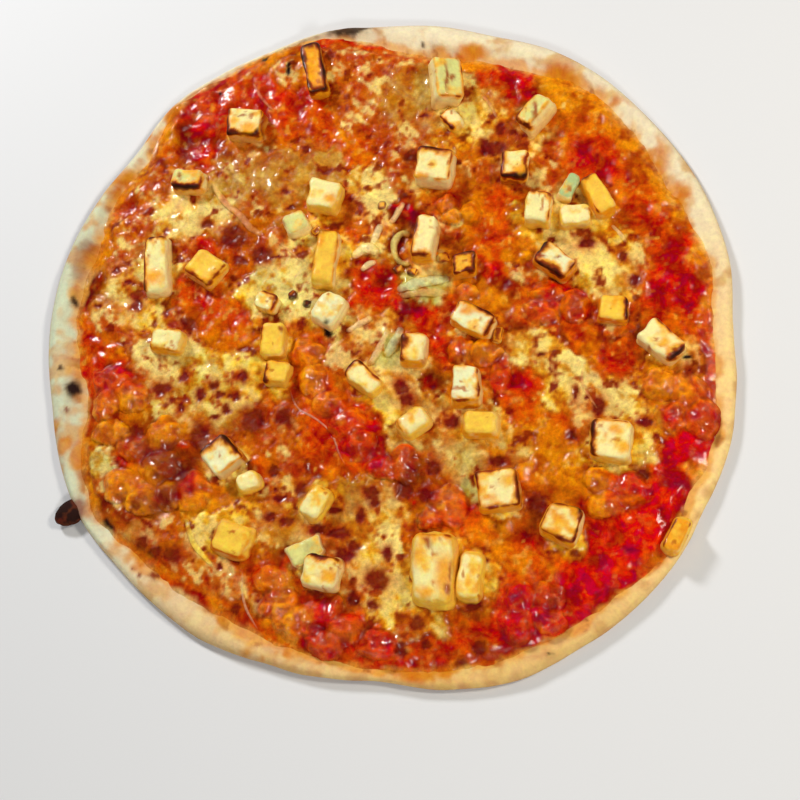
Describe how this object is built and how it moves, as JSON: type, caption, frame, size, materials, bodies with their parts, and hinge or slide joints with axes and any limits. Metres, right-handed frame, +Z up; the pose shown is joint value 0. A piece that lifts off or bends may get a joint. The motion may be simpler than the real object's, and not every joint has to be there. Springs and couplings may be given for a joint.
{
  "type": "margherita pizza",
  "caption": "Round thin-crust baked pizza with a low uneven rim, melted cheese over tomato sauce, heaps of tomato relish and grilled firm-cheese cubes",
  "frame": {"origin": "centre of the bounding box of the crust and toppings, on the flat underside", "axes": "+Z up through the toppings; +X to the right and +Y away from the viewer of the picture"},
  "size_m": [0.3002, 0.3008, 0.0184],
  "materials": {
    "crust": "matte baked dough",
    "tomato_sauce": "moist",
    "melted_cheese": "oily, browned in spots",
    "tomato_relish": "wet",
    "grilled_cheese": "satin, browned at the edges"
  },
  "bodies": {
    "root": {"crust": "crust", "tomato_sauce": "tomato_sauce", "melted_cheese": "melted_cheese", "relish_left": "tomato_relish", "relish_lower_left": "tomato_relish", "relish_bottom": "tomato_relish", "relish_bottom_right": "tomato_relish", "relish_right": "tomato_relish", "relish_lower_right": "tomato_relish", "relish_middle_right": "tomato_relish", "relish_middle": "tomato_relish", "relish_low_middle": "tomato_relish", "relish_round": "tomato_relish", "relish_far_right": "tomato_relish", "relish_small": "tomato_relish", "relish_upper_middle": "tomato_relish", "cheese_cube_01": "grilled_cheese", "cheese_cube_02": "grilled_cheese", "cheese_cube_03": "grilled_cheese", "cheese_cube_04": "grilled_cheese", "cheese_cube_05": "grilled_cheese", "cheese_cube_06": "grilled_cheese", "cheese_cube_07": "grilled_cheese", "cheese_cube_08": "grilled_cheese", "cheese_cube_09": "grilled_cheese", "cheese_cube_10": "grilled_cheese", "cheese_cube_11": "grilled_cheese", "cheese_cube_12": "grilled_cheese", "cheese_cube_13": "grilled_cheese", "cheese_cube_14": "grilled_cheese", "cheese_cube_15": "grilled_cheese", "cheese_cube_16": "grilled_cheese", "cheese_cube_17": "grilled_cheese", "cheese_cube_18": "grilled_cheese", "cheese_cube_19": "grilled_cheese", "cheese_cube_20": "grilled_cheese", "cheese_cube_21": "grilled_cheese", "cheese_cube_22": "grilled_cheese", "cheese_cube_23": "grilled_cheese", "cheese_cube_24": "grilled_cheese", "cheese_cube_25": "grilled_cheese", "cheese_cube_26": "grilled_cheese", "cheese_cube_27": "grilled_cheese", "cheese_cube_28": "grilled_cheese", "cheese_cube_29": "grilled_cheese", "cheese_cube_30": "grilled_cheese", "cheese_cube_31": "grilled_cheese", "cheese_cube_32": "grilled_cheese", "cheese_cube_33": "grilled_cheese", "cheese_cube_34": "grilled_cheese", "cheese_cube_35": "grilled_cheese", "cheese_cube_36": "grilled_cheese", "cheese_cube_37": "grilled_cheese", "cheese_cube_38": "grilled_cheese", "cheese_cube_39": "grilled_cheese", "cheese_cube_40": "grilled_cheese", "cheese_cube_41": "grilled_cheese", "cheese_cube_42": "grilled_cheese", "cheese_cube_43": "grilled_cheese"}
  },
  "joints": []
}
